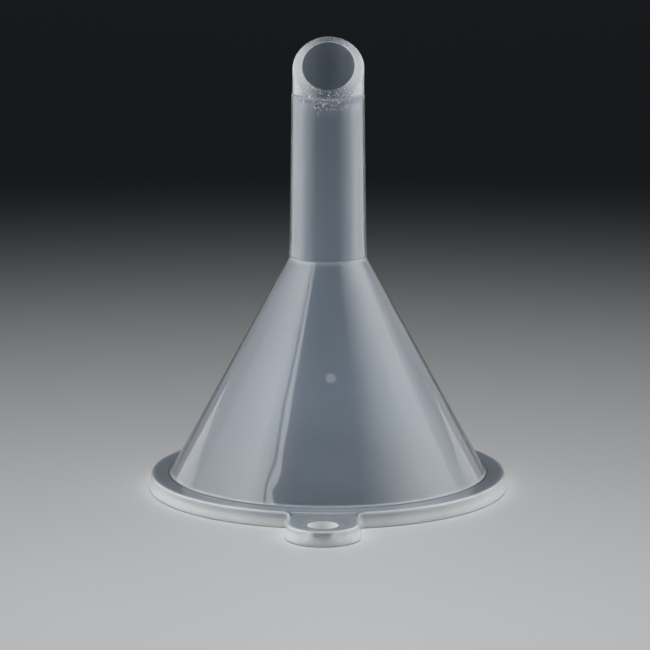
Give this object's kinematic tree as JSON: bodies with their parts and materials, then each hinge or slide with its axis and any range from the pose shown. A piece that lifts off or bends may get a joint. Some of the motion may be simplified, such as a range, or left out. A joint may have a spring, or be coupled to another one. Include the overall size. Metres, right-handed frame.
{
  "type": "small filling funnel",
  "caption": "Small one-piece moulded funnel: a cone on a flat rim with a hang tab, and a tapered outlet stem with a slanted tip.",
  "frame": {"origin": "middle of the footprint, rim and hang tab together, on the face that the funnel rests on; the funnel's own axis stands 3.3 mm along +Y from it", "axes": "+Z along the stem from the mouth to the tip, -Y to the hang tab, which is also the low side of the slanted tip, +X across"},
  "size_m": [0.034, 0.0406, 0.0426],
  "materials": {
    "natural_polypropylene": "natural polypropylene, milky and translucent with a cool grey cast; glossy moulded skin with faint fine scratches; rough whitened band at the cut tip"
  },
  "bodies": {
    "root": {"cone_body": "natural_polypropylene", "stem_tube": "natural_polypropylene", "rim_flange": "natural_polypropylene", "hang_tab": "natural_polypropylene"}
  },
  "joints": []
}
